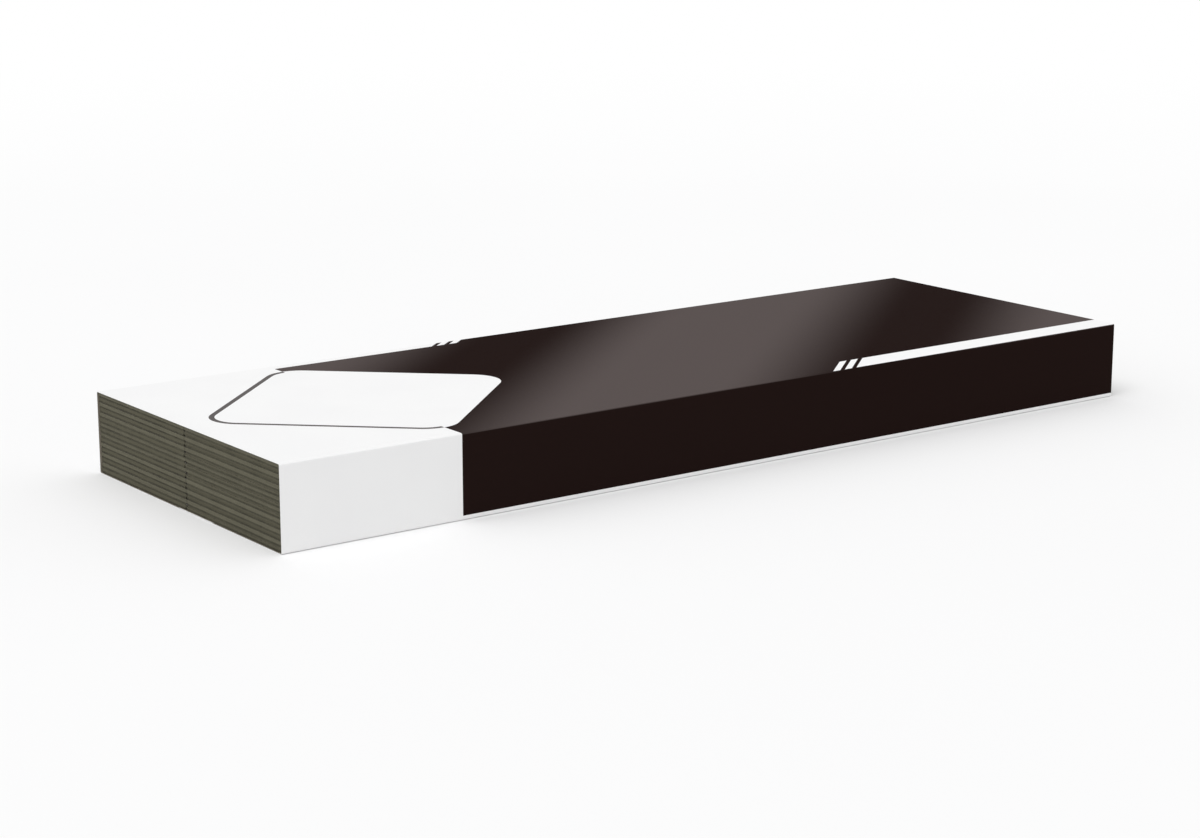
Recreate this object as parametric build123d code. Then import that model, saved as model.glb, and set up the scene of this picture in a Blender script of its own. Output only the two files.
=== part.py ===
from build123d import *
import os

# One wrapped bundle of laminated asphalt shingles, lying flat. Millimetres.
# +X runs along the length, +Y across the width and +Z up. The origin is on the
# floor under the middle of the bundle.

# Each shingle is a full sheet with a backer bonded under its toothed half. The
# backers of a pair lie side by side, BACKER_GAP apart, so that the pack is level.
SHINGLE_LENGTH = 1000.0
SHINGLE_WIDTH = 337.0
PLY = 3.2
BACKER_GAP = 4.0

# Teeth along the butt edge. Between the two end teeth lie a wide tooth, a narrow
# one and a wide one again, and the end teeth take what is left of the length.
# The backer reaches BOND_BAND past the roots of the cut-outs.
WIDE_TOOTH = 142.0
NARROW_TOOTH = 114.0
TOOTH_GAP = 97.0
TOOTH_TAPER = 3.0
BOND_BAND = 23.5

# Pairs of shingles in the bundle, the second of each pair turned end for end.
PAIRS = 8

# No two neighbours end quite level: the ends step by END_STEP, END_LEVELS high.
END_STEP = 0.2
END_LEVELS = 5

# The printed wrapper: one sheet, folded round the stack and open at both ends.
WRAP = 0.5
WRAP_SLACK = 1.2
WRAP_OVERHANG = 0.8
LAP_WIDTH = 60.0
LAP_EDGE_Y = 11.0
SEAM_GAP = 0.8

# Sizes that follow from the ones above.
HALF_LENGTH = SHINGLE_LENGTH / 2
HALF_WIDTH = SHINGLE_WIDTH / 2
BACKER_EDGE = BACKER_GAP / 2
TOOTH_ROOT = BACKER_EDGE + BOND_BAND
PAIR_HEIGHT = 3 * PLY
END_REACH = END_STEP * (END_LEVELS - 1) / 2
STACK_Z = 2 * WRAP
STACK_HEIGHT = PAIRS * PAIR_HEIGHT
WRAP_LENGTH = SHINGLE_LENGTH + 2 * (END_REACH + WRAP_OVERHANG)
WRAP_WIDTH = SHINGLE_WIDTH + 2 * (WRAP_SLACK + WRAP)
WRAP_HEIGHT = STACK_Z + STACK_HEIGHT + WRAP


def extrude_section(points, length):
    """Extrude a closed Y-Z outline along X, centred on the origin."""
    with BuildPart() as part:
        with BuildSketch(Plane.YZ):
            with BuildLine():
                Polyline(*points, close=True)
            make_face()
        extrude(amount=length / 2, both=True)
    return part.part


def gap_centres():
    """Where the middles of the cut-outs between the teeth lie along X."""
    inner = (NARROW_TOOTH + TOOTH_GAP) / 2
    outer = inner + WIDE_TOOTH + TOOTH_GAP
    return [-outer, -inner, inner, outer]


def cut_out(x, low_z):
    """A cut-out between two teeth, wider at the butt edge than at its root."""
    root = TOOTH_GAP / 2 - TOOTH_TAPER
    with BuildPart() as part:
        with BuildSketch(Plane.XY.offset(low_z)):
            with BuildLine():
                Polyline(
                    (x - root, TOOTH_ROOT),
                    (x + root, TOOTH_ROOT),
                    (x + TOOTH_GAP / 2, HALF_WIDTH),
                    (x - TOOTH_GAP / 2, HALF_WIDTH),
                    close=True,
                )
            make_face()
        extrude(amount=PLY)
    return part.part


def cut_teeth(shingle, sheet_z):
    """Cut the teeth into the butt edge of a sheet whose underside is at sheet_z."""
    for x in gap_centres():
        shingle = shingle - cut_out(x, sheet_z)
    return shingle


def lower_shingle():
    """The lower one of a pair: its sheet steps down off the backer's edge."""
    outline = [
        (HALF_WIDTH, 0),
        (HALF_WIDTH, 2 * PLY),
        (BACKER_EDGE, 2 * PLY),
        (-BACKER_EDGE, PLY),
        (-HALF_WIDTH, PLY),
        (-HALF_WIDTH, 0),
        (-BACKER_EDGE, 0),
        (BACKER_EDGE, PLY),
        (BACKER_EDGE, 0),
    ]
    shingle = extrude_section(outline, SHINGLE_LENGTH)
    return cut_teeth(shingle, PLY)


def upper_shingle():
    """The upper one: flat on top, its backer beside the lower one's."""
    outline = [
        (HALF_WIDTH, PLY),
        (HALF_WIDTH, 3 * PLY),
        (-HALF_WIDTH, 3 * PLY),
        (-HALF_WIDTH, 2 * PLY),
        (BACKER_EDGE, 2 * PLY),
        (BACKER_EDGE, PLY),
    ]
    shingle = extrude_section(outline, SHINGLE_LENGTH)
    toothed = cut_teeth(shingle, 2 * PLY)
    return toothed.rotate(Axis.Z, 180)


def end_shift(index):
    """How far one shingle lies off centre along the length."""
    level = (2 * index) % END_LEVELS
    return level * END_STEP - END_REACH


def sleeve(width, height, radius, low_z):
    """A solid bar with rounded long edges, resting at low_z."""
    with BuildPart() as part:
        with BuildSketch(Plane.YZ):
            with Locations((0, low_z + height / 2)):
                RectangleRounded(width, height, radius)
        extrude(amount=WRAP_LENGTH / 2, both=True)
    return part.part


def strip(low_y, high_y, low_z, high_z):
    """A flat strip as long as the wrapper."""
    size_y = high_y - low_y
    size_z = high_z - low_z
    middle = (0, (low_y + high_y) / 2, (low_z + high_z) / 2)
    return Pos(*middle) * Box(WRAP_LENGTH, size_y, size_z)


def wrapper():
    """The folded sheet, with its ends glued one over the other underneath."""
    outside = sleeve(WRAP_WIDTH, WRAP_HEIGHT, WRAP_SLACK + WRAP, 0)
    inside = sleeve(
        WRAP_WIDTH - 2 * WRAP,
        WRAP_HEIGHT - 2 * WRAP,
        WRAP_SLACK,
        WRAP,
    )
    sheet = outside - inside
    seam_end = LAP_EDGE_Y + SEAM_GAP
    lap = strip(LAP_EDGE_Y - LAP_WIDTH, seam_end + WRAP, WRAP, STACK_Z)
    seam = strip(LAP_EDGE_Y, seam_end, 0, WRAP)
    return sheet + lap - seam


def save(shape, name):
    """Write one piece to its own file."""
    export_step(shape, os.path.join("parts", name + ".step"))


def main():
    os.makedirs("parts", exist_ok=True)
    save(wrapper(), "wrapper")
    kinds = [lower_shingle(), upper_shingle()]
    for index in range(2 * PAIRS):
        pair = index // 2
        place = (end_shift(index), 0, STACK_Z + pair * PAIR_HEIGHT)
        save(Pos(*place) * kinds[index % 2], f"shingle_{index + 1:02d}")


main()
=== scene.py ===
"""A wrapped bundle of laminated asphalt shingles, lying flat on a pale floor.

Sixteen shingles lie in alternately turned pairs inside one printed paper sheet,
which is folded round them, glued underneath and open at both ends. Sizes are in
millimetres unless a class says otherwise, and the meshes are written in metres.
"""

import logging
import math
from collections.abc import Callable, Sequence
from dataclasses import dataclass, field
from enum import Enum

import bpy
import numpy as np
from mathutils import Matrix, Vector
from mathutils.geometry import delaunay_2d_cdt


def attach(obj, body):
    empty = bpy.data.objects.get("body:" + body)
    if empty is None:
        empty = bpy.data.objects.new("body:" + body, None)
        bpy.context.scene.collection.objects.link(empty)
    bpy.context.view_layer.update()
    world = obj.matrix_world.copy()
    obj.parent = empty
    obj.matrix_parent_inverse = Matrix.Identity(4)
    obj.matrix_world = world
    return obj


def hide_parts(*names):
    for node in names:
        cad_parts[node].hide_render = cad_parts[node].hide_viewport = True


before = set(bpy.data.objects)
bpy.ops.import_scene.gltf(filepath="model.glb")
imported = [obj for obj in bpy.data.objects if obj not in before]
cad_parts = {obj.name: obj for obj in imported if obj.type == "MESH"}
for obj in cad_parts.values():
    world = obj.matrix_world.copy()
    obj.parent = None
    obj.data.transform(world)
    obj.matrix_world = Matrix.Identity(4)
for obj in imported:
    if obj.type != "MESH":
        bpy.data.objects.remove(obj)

LOG = logging.getLogger("shingle_bundle")
MM = 0.001
BODY = "root"

# The finish of a piece is baked on its map of this name.
BAKE_MAP = "OFBake"

# A pair of shingles is so many plies high.
PAIR_PLIES = 3

# Meshing calls two points one where they are nearer than this, in millimetres, and it
# keeps everything or only what lies inside the given outline.
MERGE = 1e-4
KEEP_ALL, KEEP_INSIDE = 0, 1

# Where nearly all values of a noise lie, and the two ways across a whole range.
SPREAD = (0.3, 0.7)
RISING = (0.0, 1.0)
FALLING = (1.0, 0.0)

Point = tuple[float, float]
Colour = tuple[float, float, float]


# Mesh drafts


@dataclass
class MeshDraft:
    """Vertices and faces of one piece, gathered in millimetres."""

    points: list[tuple[float, float, float]] = field(default_factory=list)
    faces: list[tuple[int, ...]] = field(default_factory=list)
    slots: list[int] = field(default_factory=list)
    smooth: list[bool] = field(default_factory=list)
    spots: list[Point] = field(default_factory=list)

    def add(
        self,
        points: Sequence[Sequence[float]],
        faces: Sequence[Sequence[int]],
        slots: Sequence[int],
        smooth: bool,
        spots: Sequence[Point] = (),
    ) -> None:
        """Add a group of vertices with its faces.

        Args:
            points: The group's vertices.
            faces: Faces, as indices into the group's own vertices.
            slots: The material slot of each face.
            smooth: Whether the faces are shaded smooth.
            spots: The place of every face's every corner on the baked picture.
        """
        start = len(self.points)
        self.points.extend(tuple(map(float, p)) for p in points)
        self.faces.extend(tuple(int(i) + start for i in face) for face in faces)
        self.slots.extend(slots)
        self.smooth.extend([smooth] * len(faces))
        self.spots.extend(spots)

    def build(self, name: str, materials: Sequence[bpy.types.Material]) -> bpy.types.Object:
        """Make the object.

        Args:
            name: The piece's name.
            materials: The materials, in the order of their slots.

        Returns:
            The linked object.
        """
        mesh = bpy.data.meshes.new(name)
        mesh.from_pydata([Vector(p) * MM for p in self.points], [], self.faces)
        for material in materials:
            mesh.materials.append(material)
        mesh.polygons.foreach_set("material_index", self.slots)
        mesh.polygons.foreach_set("use_smooth", self.smooth)
        if self.spots:
            layer = mesh.uv_layers.new(name=BAKE_MAP)
            layer.data.foreach_set("uv", np.ravel(self.spots))
        mesh.validate(clean_customdata=False)
        mesh.update()
        piece = bpy.data.objects.new(name, mesh)
        bpy.context.scene.collection.objects.link(piece)
        return piece


@dataclass(frozen=True)
class Shelf:
    """A level strip of the square picture that a piece's finish is baked on."""

    low: float
    high: float
    left: float = 0.004
    right: float = 0.996

    def place(self, along: np.ndarray, up: np.ndarray) -> np.ndarray:
        """Put points on the picture.

        Args:
            along: Their shares of the strip's length.
            up: Their shares of its height.

        Returns:
            The places, with one axis more than the shares have.
        """
        across = self.left + (self.right - self.left) * along
        height = self.low + (self.high - self.low) * up
        return np.stack(np.broadcast_arrays(across, height), axis=-1)

    def divided(self, count: int, gap: float = 0.004) -> list["Shelf"]:
        """Cut the strip into shorter ones, side by side.

        Args:
            count: How many.
            gap: The clear length between two of them.

        Returns:
            The shorter strips, from the left.
        """
        pitch = (self.right - self.left + gap) / count
        lefts = [self.left + pitch * number for number in range(count)]
        return [Shelf(self.low, self.high, left, left + pitch - gap) for left in lefts]


def stacked_shelves(heights: Sequence[float], gap: float = 0.003) -> list[Shelf]:
    """Fill the picture with strips.

    Args:
        heights: How tall they are beside each other.
        gap: The clear height between two of them.

    Returns:
        The strips, from the bottom up.
    """
    unit = (1.0 - gap * (len(heights) + 1)) / sum(heights)
    shelves: list[Shelf] = []
    low = gap
    for height in heights:
        shelves.append(Shelf(low, low + height * unit))
        low += height * unit + gap
    return shelves


def inside(points: np.ndarray, polygon: np.ndarray) -> np.ndarray:
    """Tell which points lie inside a polygon.

    Args:
        points: The points, one a row.
        polygon: The polygon's corners, one a row.

    Returns:
        One truth value a point.
    """
    found = np.zeros(len(points), dtype=bool)
    near = np.all((points > polygon.min(0)) & (points < polygon.max(0)), axis=1)
    x, y = points[near].T
    odd = np.zeros(len(x), dtype=bool)
    for (ax, ay), (bx, by) in zip(polygon, np.roll(polygon, -1, axis=0)):
        if ay != by:
            odd ^= ((ay > y) != (by > y)) & (x < (bx - ax) * (y - ay) / (by - ay) + ax)
    found[near] = odd
    return found


def rounded_polygon(corners: Sequence[Point], radius: float, steps: int = 10) -> list[Point]:
    """Round the corners of a convex polygon.

    Args:
        corners: The sharp corners in order.
        radius: The radius of every corner.
        steps: Segments in each corner.

    Returns:
        The rounded outline.
    """
    outline: list[Point] = []
    count = len(corners)
    for index, corner in enumerate(corners):
        here = Vector(corner)
        before = (Vector(corners[index - 1]) - here).normalized()
        after = (Vector(corners[(index + 1) % count]) - here).normalized()
        half = before.angle(after) / 2
        middle = here + (before + after).normalized() * radius / math.sin(half)
        start = (here + before * radius / math.tan(half) - middle).normalized()
        end = (here + after * radius / math.tan(half) - middle).normalized()
        for step in range(steps + 1):
            spoke = start.slerp(end, step / steps) * radius
            outline.append((middle.x + spoke.x, middle.y + spoke.y))
    return outline


# Finishes


class Shader:
    """Lays out the nodes of one material.

    The Mix node's sockets for colours share their names with those for numbers, so
    they are known by their places.
    """

    MIX_SHARE, MIX_FIRST, MIX_SECOND, MIX_RESULT = 0, 6, 7, 2

    def __init__(self, name: str) -> None:
        """Start a material with a single principled surface.

        Args:
            name: The material's name.
        """
        self.material = bpy.data.materials.new(name)
        self.material.use_nodes = True
        self.tree = self.material.node_tree
        self.surface = self.tree.nodes["Principled BSDF"]
        self.place = self.node("ShaderNodeTexCoord").outputs["Object"]

    def node(
        self, kind: str, settings: dict | None = None, inputs: dict | None = None
    ) -> bpy.types.Node:
        """Add one node.

        Args:
            kind: The node's type.
            settings: Properties to set on it.
            inputs: Values or sockets for its inputs, by name or number.

        Returns:
            The node.
        """
        made = self.tree.nodes.new(kind)
        for key, value in (settings or {}).items():
            setattr(made, key, value)
        for key, value in (inputs or {}).items():
            self.feed(made.inputs[key], value)
        return made

    def feed(self, socket: bpy.types.NodeSocket, value: object) -> None:
        """Link a socket to an input, or set a plain value on it.

        Args:
            socket: The input.
            value: The socket or the value.
        """
        if isinstance(value, bpy.types.NodeSocket):
            self.tree.links.new(value, socket)
        else:
            socket.default_value = value

    def axis(self, name: str) -> bpy.types.NodeSocket:
        """Give one of the object's own coordinates."""
        return self.node("ShaderNodeSeparateXYZ", None, {0: self.place}).outputs[name]

    def stretched(self, scale: Sequence[float]) -> bpy.types.NodeSocket:
        """Give the object's own coordinates, multiplied by a scale for each axis."""
        inputs = {0: self.place, 1: tuple(scale)}
        return self.node("ShaderNodeVectorMath", {"operation": "MULTIPLY"}, inputs).outputs[0]

    def noise(
        self, scale: float, detail: float = 2.0, place: bpy.types.NodeSocket | None = None
    ) -> bpy.types.NodeSocket:
        """Give a noise value.

        Args:
            scale: Its frequency, in cycles a metre where the place isn't stretched.
            detail: Its octaves.
            place: The coordinates, which are the object's own by default.

        Returns:
            The value's socket.
        """
        inputs = {"Vector": place or self.place, "Scale": scale, "Detail": detail}
        return self.node("ShaderNodeTexNoise", None, inputs).outputs["Fac"]

    def grains(self, size: float) -> tuple[bpy.types.NodeSocket, bpy.types.NodeSocket]:
        """Divide the surface into grains.

        Args:
            size: Their size, in metres.

        Returns:
            A chance value for each grain, and the distance from its middle in sizes.
        """
        inputs = {"Vector": self.place, "Scale": 1 / size}
        cells = self.node("ShaderNodeTexVoronoi", None, inputs).outputs
        chance = self.node("ShaderNodeSeparateColor", None, {0: cells["Color"]}).outputs[0]
        return chance, cells["Distance"]

    def ranged(
        self,
        value: bpy.types.NodeSocket,
        source: Point,
        target: Point,
        soft: bool = False,
    ) -> bpy.types.NodeSocket:
        """Map a value from one range to another, clamped.

        Args:
            value: The value.
            source: The range it comes from.
            target: The range it goes to.
            soft: Whether the ends ease in and out.

        Returns:
            The mapped value's socket.
        """
        kind = "SMOOTHSTEP" if soft else "LINEAR"
        inputs = dict(enumerate((value, *source, *target)))
        return self.node("ShaderNodeMapRange", {"interpolation_type": kind}, inputs).outputs[0]

    def math(self, operation: str, first: object, second: object = 0.0) -> bpy.types.NodeSocket:
        """Give the result of a sum on one or two values.

        Args:
            operation: Blender's name of the sum.
            first: A value or socket.
            second: A value or socket.

        Returns:
            The result's socket.
        """
        node = self.node("ShaderNodeMath", {"operation": operation}, {0: first, 1: second})
        return node.outputs[0]

    def mixed(self, share: object, first: object, second: object) -> bpy.types.NodeSocket:
        """Blend two colours.

        Args:
            share: How much of the second, from 0 to 1.
            first: A colour or socket.
            second: A colour or socket.

        Returns:
            The blend's socket.
        """
        node = self.node("ShaderNodeMix", {"data_type": "RGBA"})
        self.feed(node.inputs[self.MIX_SHARE], share)
        self.feed(node.inputs[self.MIX_FIRST], opaque(first))
        self.feed(node.inputs[self.MIX_SECOND], opaque(second))
        return node.outputs[self.MIX_RESULT]

    def bump(
        self, height: bpy.types.NodeSocket, depth: float, strength: float, under: object = None
    ) -> bpy.types.NodeSocket:
        """Turn a height into a normal.

        Args:
            height: The height, from 0 to 1.
            depth: The real depth of that, in metres.
            strength: How much of it shows.
            under: The normal of a coarser relief below this one.

        Returns:
            The normal's socket.
        """
        inputs = {"Height": height, "Distance": depth, "Strength": strength}
        if under is not None:
            inputs["Normal"] = under
        return self.node("ShaderNodeBump", None, inputs).outputs["Normal"]

    def finish(
        self, colour: object, roughness: object, normal: object, specular: float
    ) -> bpy.types.Material:
        """Connect the surface.

        Args:
            colour: The base colour or its socket.
            roughness: The roughness or its socket.
            normal: The normal's socket.
            specular: The specular level.

        Returns:
            The material.
        """
        self.feed(self.surface.inputs["Base Color"], opaque(colour))
        self.feed(self.surface.inputs["Roughness"], roughness)
        self.feed(self.surface.inputs["Normal"], normal)
        self.surface.inputs["Specular IOR Level"].default_value = specular
        return self.material


def seen_directly(tree: bpy.types.NodeTree) -> bpy.types.NodeSocket:
    """Tell camera rays, and what mirrors and glass pass on, from the light's own.

    Args:
        tree: The nodes of a material or the world.

    Returns:
        A socket that is 1 for those rays and otherwise 0.
    """
    path = tree.nodes.new("ShaderNodeLightPath")
    seen = path.outputs["Is Camera Ray"]
    for ray in ("Is Glossy Ray", "Is Transmission Ray"):
        either = tree.nodes.new("ShaderNodeMath")
        either.operation = "MAXIMUM"
        tree.links.new(seen, either.inputs[0])
        tree.links.new(path.outputs[ray], either.inputs[1])
        seen = either.outputs[0]
    return seen


def opaque(colour: object) -> object:
    """Give a plain colour its fourth number, and a socket as it is."""
    return colour if isinstance(colour, bpy.types.NodeSocket) else (*colour, 1.0)


@dataclass(frozen=True, kw_only=True)
class PaperFinish:
    """What every face of the sheet shows under its colour.

    Lengths are in metres here and in the other finishes. A noise is given as its
    frequency, in cycles a metre, and its octaves, and a relief as its depth and strength.
    """

    fibre: Point = (900.0, 3.0)
    fibre_relief: Point = (0.00005, 0.3)
    swell: Point = (22.0, 1.0)
    swell_relief: Point = (0.0008, 0.12)
    wavy: bool = False
    gloss: Point = (0.44, 0.56)
    specular: float = 0.15

    def dressed(
        self, shader: Shader, colour: object, fibre: bpy.types.NodeSocket
    ) -> bpy.types.Material:
        """Give the surface its gloss and its relief.

        Args:
            shader: The material under way.
            colour: The colour or its socket.
            fibre: The noise of the paper's fibre.

        Returns:
            The material.
        """
        roughness = shader.ranged(fibre, SPREAD, self.gloss)
        under = None
        if self.wavy:
            under = shader.bump(shader.noise(*self.swell), *self.swell_relief)
        relief = shader.bump(fibre, *self.fibre_relief, under)
        return shader.finish(colour, roughness, relief, self.specular)


@dataclass(frozen=True, kw_only=True)
class CoatedPaper(PaperFinish):
    """The wrapper's bare paper: white, coated, faintly mottled."""

    light: Colour = (0.87, 0.87, 0.87)
    shade: Colour = (0.855, 0.855, 0.857)
    cloud: Point = (14.0, 4.0)
    fibre_relief: Point = (0.00006, 0.3)
    wavy: bool = True
    gloss: Point = (0.44, 0.54)
    specular: float = 0.3

    def material(self, name: str) -> bpy.types.Material:
        """Make the material.

        Args:
            name: Its name.

        Returns:
            The material.
        """
        shader = Shader(name)
        cloud = shader.ranged(shader.noise(*self.cloud), SPREAD, RISING, True)
        colour = shader.mixed(cloud, self.light, self.shade)
        return self.dressed(shader, colour, shader.noise(*self.fibre))


@dataclass(frozen=True, kw_only=True)
class BlackPrint(PaperFinish):
    """The black print: even on the sides, painted sheen on top between dark streaks.

    The paler tone on top is a painted sheen, not a colour of the ink. The streaks run
    aslant, so a place on top is known by its distance from the white end plus the
    slant times its distance from the back edge. Each streak gives where it begins to
    darken, is dark, begins to fade and is gone. The painted sheen begins and is whole
    a little below the top, on the folds.
    """

    # dark is the ink; light is the colour of the painted sheen on top.
    dark: Colour = (0.0150, 0.0083, 0.0073)
    light: Colour = (0.096, 0.0785, 0.0756)
    wavy: bool = True
    gloss: Point = (0.66, 0.80)
    specular: float = 0.002
    slant: float = 1.2
    streaks: tuple[tuple[float, float, float, float], ...] = (
        (0.245, 0.445, 0.520, 0.705),
        (0.865, 1.060, 1.133, 1.333),
    )
    top_z: float = 0.0783
    below_top: Point = (0.0015, 0.0003)
    left_x: float = -0.5012
    back_y: float = 0.1702

    def painted_sheen(self, shader: Shader) -> bpy.types.NodeSocket:
        """Give how much painted sheen the field has at each place.

        Args:
            shader: The material under way.

        Returns:
            A value from 0 on the sides and in the dark streaks to 1 where the painted sheen is
            whole.
        """
        along = shader.math("SUBTRACT", shader.axis("X"), self.left_x)
        from_back = shader.math("SUBTRACT", self.back_y, shader.axis("Y"))
        aslant = shader.math("ADD", along, shader.math("MULTIPLY", from_back, self.slant))
        low, high = (self.top_z - depth for depth in self.below_top)
        tone = shader.ranged(shader.axis("Z"), (low, high), RISING)
        for begin, dark, fade, gone in self.streaks:
            before = shader.ranged(aslant, (begin, dark), FALLING, True)
            after = shader.ranged(aslant, (fade, gone), RISING, True)
            tone = shader.math("MINIMUM", tone, shader.math("MAXIMUM", before, after))
        return tone

    def material(self, name: str) -> bpy.types.Material:
        """Make the material.

        Args:
            name: Its name.

        Returns:
            The material.
        """
        shader = Shader(name)
        # The painted sheen lifts the black ink towards the paler colour on top.
        colour = shader.mixed(self.painted_sheen(shader), self.dark, self.light)
        return self.dressed(shader, colour, shader.noise(*self.fibre))


@dataclass(frozen=True, kw_only=True)
class PlainPrint(PaperFinish):
    """An even ink, such as the panel's outline, or one broken into dashes like the rules.

    The ink is weaker on some of the fibre: its colour is multiplied and lifted by
    fade's two numbers there. The dashes come from a noise with so many cycles a metre
    along and across, and there are none where both are 0.
    """

    colour: Colour
    fade: Point = (1.25, 0.01)
    fade_range: Point = (0.35, 0.75)
    dashes: Point = (0.0, 0.0)
    break_range: Point = (0.355, 0.380)
    ground: Colour = (0.86, 0.86, 0.86)

    def material(self, name: str) -> bpy.types.Material:
        """Make the material.

        Args:
            name: Its name.

        Returns:
            The material.
        """
        shader = Shader(name)
        fibre = shader.noise(*self.fibre)
        gain, lift = self.fade
        weaker = tuple(min(1.0, part * gain + lift) for part in self.colour)
        share = shader.ranged(fibre, self.fade_range, RISING)
        colour = shader.mixed(share, self.colour, weaker)
        if any(self.dashes):
            chance = shader.noise(1.0, 0.0, shader.stretched((*self.dashes, 0.0)))
            breaks = shader.ranged(chance, self.break_range, FALLING)
            colour = shader.mixed(breaks, colour, self.ground)
        return self.dressed(shader, colour, fibre)


@dataclass(frozen=True, kw_only=True)
class HatchedPrint(PaperFinish):
    """The band along the glued seam: slanted dark lines, close together.

    The gap's share is of the pitch, and the soft share is of the gap.
    """

    ink: Colour = (0.0145, 0.0140, 0.0140)
    ground: Colour = (0.80, 0.80, 0.80)
    pitch: float = 0.0028
    lean: float = 0.62
    gap_share: float = 0.2
    soft_share: float = 0.2
    specular: float = 0.2

    def material(self, name: str) -> bpy.types.Material:
        """Make the material.

        Args:
            name: Its name.

        Returns:
            The material.
        """
        shader = Shader(name)
        leaned = shader.math("MULTIPLY", shader.axis("Y"), -self.lean)
        across = shader.math("ADD", shader.axis("X"), leaned)
        turns = shader.math("FRACT", shader.math("DIVIDE", across, self.pitch))
        soft = self.gap_share * self.soft_share
        line = shader.ranged(turns, (self.gap_share - soft, self.gap_share), RISING)
        colour = shader.mixed(line, self.ground, self.ink)
        return self.dressed(shader, colour, shader.noise(*self.fibre))


@dataclass(frozen=True, kw_only=True)
class CutEdge:
    """A sheared edge of asphalt and mat: streaked along the ply and grainy.

    The streaks come from a noise with so many cycles a metre on each axis. A weight
    gives how far a noise shifts the tone towards the dark, and bond_line and the
    strength of the painted shade where the backers meet how far the lines do. The
    bond line's reach is in heights of a pair.
    """

    light: Colour
    dark: Colour
    streaks: tuple[float, float, float] = (30.0, 30.0, 900.0)
    streak_detail: float = 3.0
    streak_weight: Point = (0.1, 0.45)
    streak_relief: Point = (0.0006, 0.5)
    grain: Point = (1500.0, 2.0)
    grain_weight: Point = (0.0, 0.35)
    grain_relief: Point = (0.0003, 0.5)
    cloud: Point = (45.0, 2.0)
    cloud_weight: Point = (-0.05, 0.15)
    speck: float = 0.0011
    speck_weight: Point = (-0.15, 0.15)
    bond_line: float = 0.0
    bond_reach: Point = (0.11, 0.16)
    # The painted shade where the backers meet: its strength, and its reach from the middle.
    joint_shade_strength: float = 0.55
    joint_shade_reach: Point = (0.0004, 0.0018)
    stack_base: float = 0.001
    ply: float = 0.0032
    gloss: Point = (0.82, 0.97)
    specular: float = 0.25

    def bond(self, shader: Shader) -> bpy.types.NodeSocket:
        """Give the paler line where a sheet is bonded to its backer.

        Args:
            shader: The material under way.

        Returns:
            A value from 0 to the line's strength.
        """
        above = shader.math("SUBTRACT", shader.axis("Z"), self.stack_base)
        pairs = shader.math("DIVIDE", above, PAIR_PLIES * self.ply)
        away = shader.math("SUBTRACT", shader.math("FRACT", pairs), 1 / PAIR_PLIES)
        return shader.ranged(shader.math("ABSOLUTE", away), self.bond_reach, (self.bond_line, 0.0))

    def specks(self, shader: Shader) -> bpy.types.NodeSocket:
        """Give the sheared mineral grains, each a little paler or darker."""
        pick, _ = shader.grains(self.speck)
        return shader.ranged(pick, RISING, self.speck_weight)

    def painted_joint_shade(self, shader: Shader) -> bpy.types.NodeSocket:
        """Give the painted shade where two backers meet: a darker line either side of the gap."""
        away = shader.math("ABSOLUTE", shader.axis("Y"))
        return shader.ranged(away, self.joint_shade_reach, (self.joint_shade_strength, 0.0))

    def material(self, name: str) -> bpy.types.Material:
        """Make the material.

        Args:
            name: Its name.

        Returns:
            The material.
        """
        shader = Shader(name)
        streaks = shader.noise(1.0, self.streak_detail, shader.stretched(self.streaks))
        grain = shader.noise(*self.grain)
        share = shader.ranged(streaks, SPREAD, self.streak_weight)
        # The last part is painted shade where the backers meet; the others are the edge's own tone.
        darker = [
            shader.ranged(grain, SPREAD, self.grain_weight),
            shader.ranged(shader.noise(*self.cloud), SPREAD, self.cloud_weight),
            self.specks(shader),
            self.painted_joint_shade(shader),
        ]
        for part in darker:
            share = shader.math("ADD", share, part)
        if self.bond_line:
            share = shader.math("SUBTRACT", share, self.bond(shader))
        colour = shader.mixed(shader.ranged(share, RISING, RISING), self.light, self.dark)
        roughness = shader.ranged(grain, SPREAD, self.gloss)
        coarse = shader.bump(streaks, *self.streak_relief)
        relief = shader.bump(grain, *self.grain_relief, coarse)
        return shader.finish(colour, roughness, relief, self.specular)


@dataclass(frozen=True, kw_only=True)
class Granules:
    """Coloured mineral granules, pressed into the asphalt of the upper face.

    The gap and dome ranges are distances from a granule's middle, in granule sizes.
    """

    asphalt: Colour = (0.016, 0.015, 0.014)
    tones: tuple[Colour, ...] = (
        (0.045, 0.044, 0.040),
        (0.085, 0.080, 0.068),
        (0.125, 0.112, 0.090),
        (0.180, 0.170, 0.150),
    )
    size: float = 0.0016
    drift: Point = (9.0, 3.0)
    drift_weight: Point = (-0.25, 0.25)
    gap_range: Point = (0.5, 0.75)
    dome_range: Point = (0.1, 0.8)
    dome_relief: Point = (0.0007, 0.8)
    wear: Point = (700.0, 2.0)
    gloss: Point = (0.75, 0.95)
    specular: float = 0.3

    def material(self, name: str) -> bpy.types.Material:
        """Make the material.

        Args:
            name: Its name.

        Returns:
            The material.
        """
        shader = Shader(name)
        pick, away = shader.grains(self.size)
        drift = shader.ranged(shader.noise(*self.drift), SPREAD, self.drift_weight)
        ramp = shader.node("ShaderNodeValToRGB", None, {0: shader.math("ADD", pick, drift)})
        ramp.color_ramp.interpolation = "CONSTANT"
        stops = ramp.color_ramp.elements
        while len(stops) < len(self.tones):
            stops.new(0.5)
        for index, tone in enumerate(self.tones):
            stops[index].position = index / len(self.tones)
            stops[index].color = opaque(tone)
        gaps = shader.ranged(away, self.gap_range, RISING)
        colour = shader.mixed(gaps, ramp.outputs[0], self.asphalt)
        relief = shader.bump(shader.ranged(away, self.dome_range, FALLING), *self.dome_relief)
        roughness = shader.ranged(shader.noise(*self.wear), SPREAD, self.gloss)
        return shader.finish(colour, roughness, relief, self.specular)


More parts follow.
